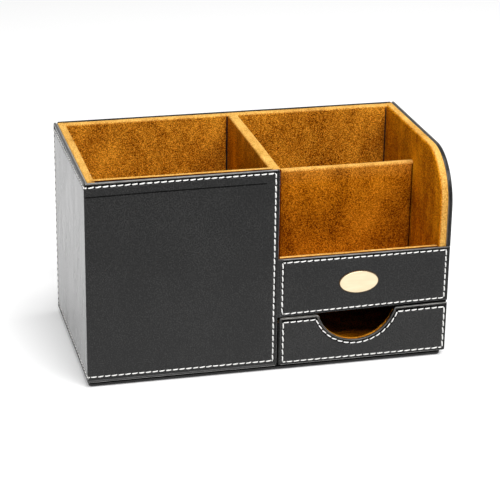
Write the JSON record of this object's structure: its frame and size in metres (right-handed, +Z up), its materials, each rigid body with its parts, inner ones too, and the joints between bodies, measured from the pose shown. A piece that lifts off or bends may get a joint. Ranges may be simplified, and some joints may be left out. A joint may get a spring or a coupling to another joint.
{
  "type": "pen stand with drawer",
  "caption": "Desk organizer in stitched leather over board: a deep pen well, a stepped tray with a divider, and a drawer with a finger notch; suede lined.",
  "frame": {"origin": "on the table, under the middle of the whole box", "axes": "+X to the right along the front, +Y from the front to the back, +Z up"},
  "size_m": [0.2408, 0.128, 0.1383],
  "materials": {
    "leather": "smooth black grained leather, satin",
    "suede": "short nap suede lining, golden tan",
    "thread": "white waxed sewing thread",
    "badge": "polished pale gold plate",
    "board": "fibreboard in black paper, matte",
    "card": "grey card, matte",
    "felt": "black felt"
  },
  "bodies": {
    "case": {"base_felt": "felt", "base_board": "board", "base_leather": "leather", "left_board": "board", "front_board": "board", "back_board": "board", "right_board": "board", "divider_board": "board", "well_floor_board": "board", "tray_floor_board": "board", "tray_divider_board": "board", "fascia_board": "board", "left_card": "card", "front_card": "card", "fascia_card": "card", "right_card": "card", "back_card": "card", "front_leather": "leather", "right_leather": "leather", "back_leather": "leather", "left_lining": "suede", "well_front_lining": "suede", "well_back_lining": "suede", "well_floor_lining": "suede", "divider_lining": "suede", "right_lining": "suede", "tray_back_lining": "suede", "fascia_lining": "suede", "tray_divider_lining": "suede", "front_tray_floor_lining": "suede", "rear_tray_floor_lining": "suede", "front_thread": "thread", "fascia_thread": "thread", "right_thread": "thread", "back_thread": "thread", "badge": "badge"},
    "drawer": {"drawer_front_board": "board", "drawer_front_card": "card", "drawer_front_leather": "leather", "drawer_front_lining": "suede", "drawer_thread": "thread", "drawer_floor": "board", "drawer_left_side": "board", "drawer_right_side": "board", "drawer_back": "board", "drawer_floor_lining": "suede", "drawer_left_lining": "suede", "drawer_right_lining": "suede", "drawer_back_lining": "suede"}
  },
  "joints": [
    {"name": "drawer_slide", "type": "slide", "parent": "case", "child": "drawer", "axis": [0, -1, 0], "range_m": [0, 0.09]}
  ]
}
